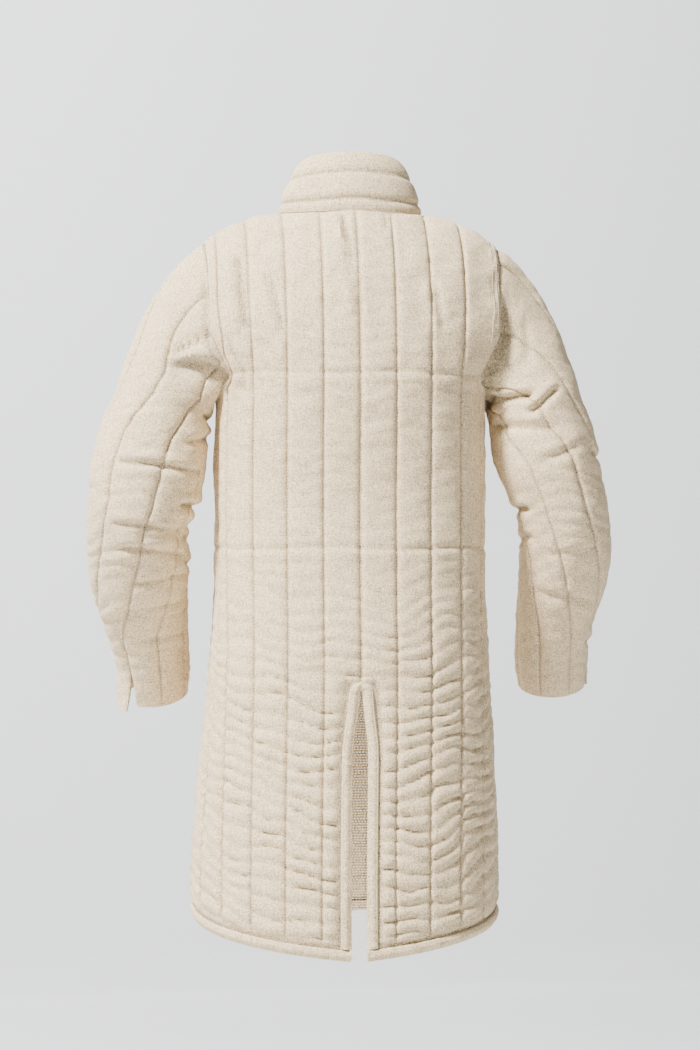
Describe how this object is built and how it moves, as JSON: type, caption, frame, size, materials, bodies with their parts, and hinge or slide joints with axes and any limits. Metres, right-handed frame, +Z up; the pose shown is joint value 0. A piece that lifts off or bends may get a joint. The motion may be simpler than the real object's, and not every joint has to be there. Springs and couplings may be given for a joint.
{
  "type": "gambeson",
  "caption": "Knee-length quilted canvas coat with a stand collar, set-in sleeves and a bound slit at the centre back, in a worn, hollow form.",
  "frame": {"origin": "At the neck, level with the collar seam at the centre back, on the middle line of the shoulders, where the wearer holds the garment up.", "axes": "+Z up, the garment's front towards -Y, the wearer's left towards +X."},
  "size_m": [0.7379, 0.3382, 1.1006],
  "materials": {
    "canvas": "undyed cotton canvas, matt, quilted",
    "binding": "undyed cotton canvas strip, matt, padded"
  },
  "bodies": {
    "root": {"back": "canvas", "front_left": "canvas", "front_right": "canvas", "collar": "canvas", "sleeve_left": "canvas", "sleeve_right": "canvas", "vent_binding": "binding", "hem_binding_left": "binding", "hem_binding_right": "binding", "front_binding_left": "binding", "front_binding_right": "binding"}
  },
  "joints": []
}
